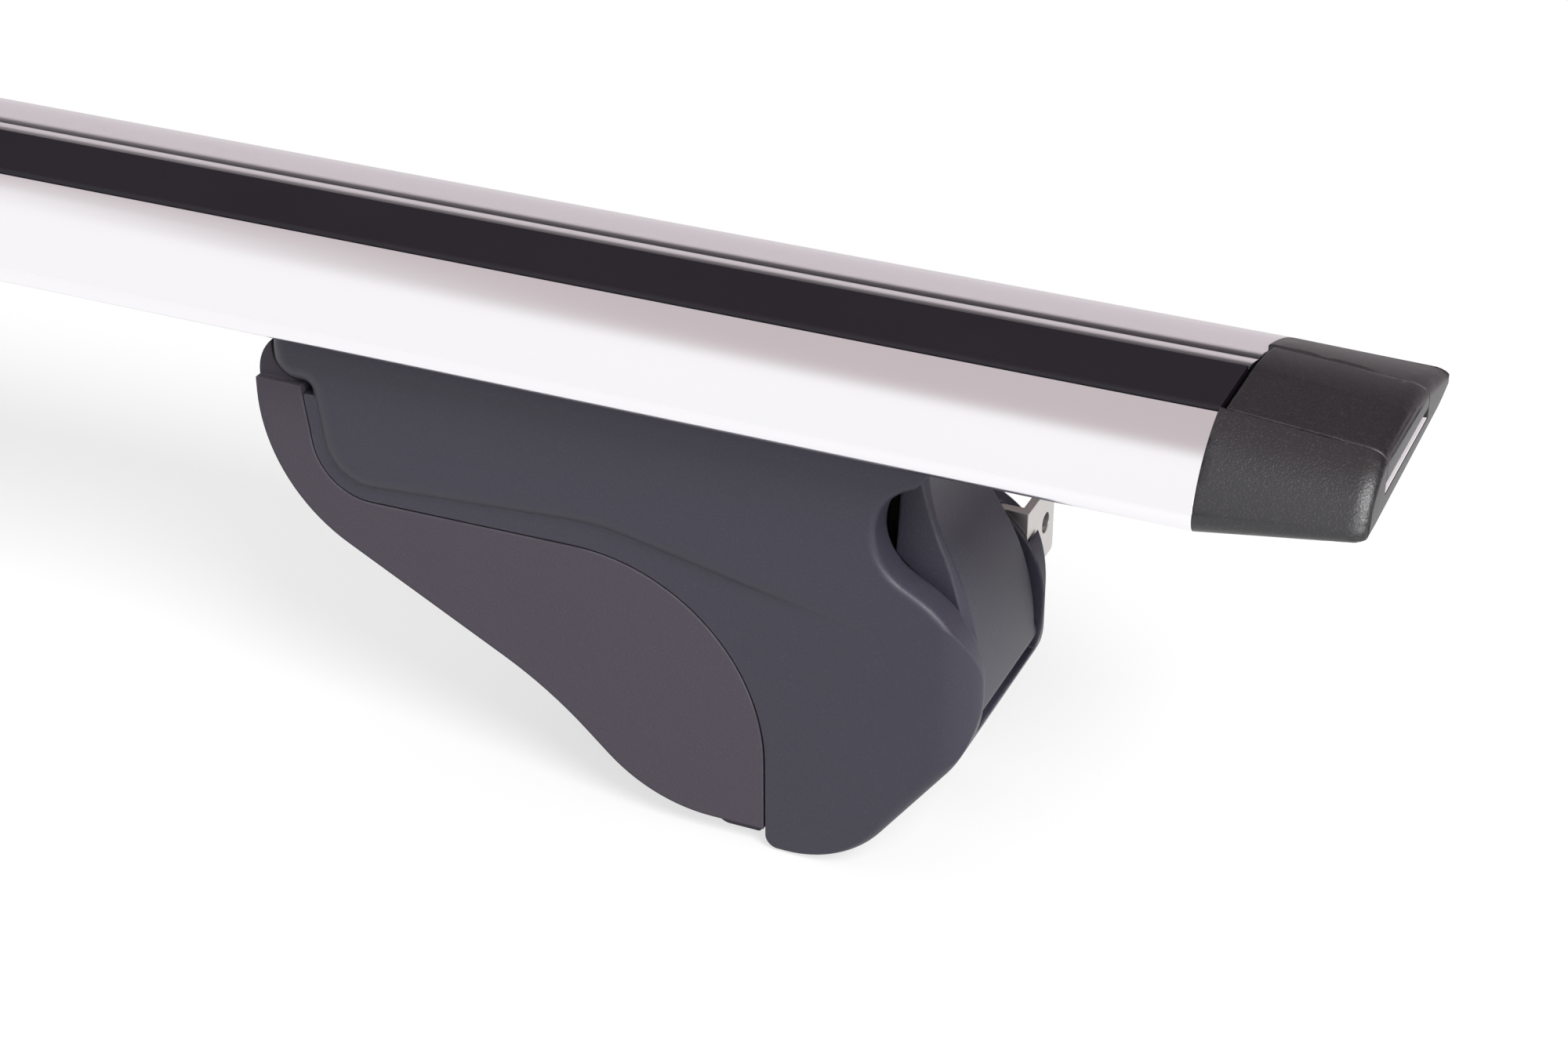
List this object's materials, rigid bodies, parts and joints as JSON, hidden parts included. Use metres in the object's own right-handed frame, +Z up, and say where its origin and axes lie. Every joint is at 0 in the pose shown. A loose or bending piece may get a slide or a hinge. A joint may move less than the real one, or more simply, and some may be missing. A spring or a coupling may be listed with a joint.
{
  "type": "roof rack crossbar",
  "caption": "Aerodynamic aluminium roof rack crossbar with a rubber-filled top slot, flap-lidded end caps and clamping feet for raised roof rails.",
  "frame": {"origin": "middle of the bar's length and chord, on the plane the two feet stand on", "axes": "+X along the bar, -Y towards the leading edge, +Z up"},
  "size_m": [1.192, 0.079, 0.1395],
  "materials": {
    "bar_aluminium": "satin clear anodised extrusion",
    "strip_rubber": "matt black moulded rubber",
    "cap_plastic": "coarse eroded black plastic",
    "foot_plastic": "fine grained slate grey plastic",
    "pad_rubber": "dull dark rubber",
    "zinc_steel": "zinc plated steel"
  },
  "bodies": {
    "bar": {"bar_extrusion": "bar_aluminium", "slot_strip": "strip_rubber", "right_cap_body": "cap_plastic", "right_flap_pin": "zinc_steel", "right_foot_shell": "foot_plastic", "right_rail_pad": "pad_rubber", "right_cover_pin": "zinc_steel", "right_bracket": "zinc_steel", "right_pivot_pin": "zinc_steel", "right_nut_plate": "zinc_steel", "right_bar_screw_inboard": "zinc_steel", "right_bar_screw_outboard": "zinc_steel", "left_cap_body": "cap_plastic", "left_flap_pin": "zinc_steel", "left_foot_shell": "foot_plastic", "left_rail_pad": "pad_rubber", "left_cover_pin": "zinc_steel", "left_bracket": "zinc_steel", "left_pivot_pin": "zinc_steel", "left_nut_plate": "zinc_steel", "left_bar_screw_inboard": "zinc_steel", "left_bar_screw_outboard": "zinc_steel"},
    "right_flap": {"right_cap_flap": "cap_plastic"},
    "right_cover": {"right_end_cover": "foot_plastic"},
    "right_claw": {"right_claw": "zinc_steel", "right_claw_boot": "pad_rubber"},
    "right_nut": {"right_barrel_nut": "zinc_steel"},
    "right_bolt": {"right_clamp_bolt": "zinc_steel"},
    "left_flap": {"left_cap_flap": "cap_plastic"},
    "left_cover": {"left_end_cover": "foot_plastic"},
    "left_claw": {"left_claw": "zinc_steel", "left_claw_boot": "pad_rubber"},
    "left_nut": {"left_barrel_nut": "zinc_steel"},
    "left_bolt": {"left_clamp_bolt": "zinc_steel"}
  },
  "joints": [
    {"name": "right_flap_hinge", "type": "hinge", "parent": "bar", "child": "right_flap", "pos_m": [0.593, 0, 0.13], "axis": [0, 1, 0], "range_deg": [0, 90]},
    {"name": "right_cover_hinge", "type": "hinge", "parent": "bar", "child": "right_cover", "pos_m": [0.5038, 0, 0.0478], "axis": [0, 1, 0], "range_deg": [0, 90]},
    {"name": "right_bolt_turn", "type": "hinge", "parent": "bar", "child": "right_bolt", "pos_m": [0.46934, 0, 0.05569], "axis": [-0.9903, 0, -0.1392], "range_deg": [0, 2134]},
    {"name": "right_claw_swing", "type": "hinge", "parent": "bar", "child": "right_claw", "pos_m": [0.477, 0, 0.0225], "axis": [0, 1, 0], "range_deg": [0, 10]},
    {"name": "right_nut_turn", "type": "hinge", "parent": "right_claw", "child": "right_nut", "pos_m": [0.46935, 0, 0.05563], "axis": [0, 1, 0], "range_deg": [-10, 0]},
    {"name": "left_flap_hinge", "type": "hinge", "parent": "bar", "child": "left_flap", "pos_m": [-0.593, 0, 0.13], "axis": [0, -1, 0], "range_deg": [0, 90]},
    {"name": "left_cover_hinge", "type": "hinge", "parent": "bar", "child": "left_cover", "pos_m": [-0.5038, 0, 0.0478], "axis": [0, -1, 0], "range_deg": [0, 90]},
    {"name": "left_bolt_turn", "type": "hinge", "parent": "bar", "child": "left_bolt", "pos_m": [-0.46934, 0, 0.05569], "axis": [0.9903, 0, -0.1392], "range_deg": [0, 2134]},
    {"name": "left_claw_swing", "type": "hinge", "parent": "bar", "child": "left_claw", "pos_m": [-0.477, 0, 0.0225], "axis": [0, -1, 0], "range_deg": [0, 10]},
    {"name": "left_nut_turn", "type": "hinge", "parent": "left_claw", "child": "left_nut", "pos_m": [-0.46935, 0, 0.05563], "axis": [0, -1, 0], "range_deg": [-10, 0]}
  ],
  "couplings": [
    {"joint": "right_bolt_turn", "follows": "right_claw_swing", "ratio": 213.36},
    {"joint": "right_nut_turn", "follows": "right_claw_swing", "ratio": -1},
    {"joint": "left_bolt_turn", "follows": "left_claw_swing", "ratio": 213.36},
    {"joint": "left_nut_turn", "follows": "left_claw_swing", "ratio": -1}
  ]
}
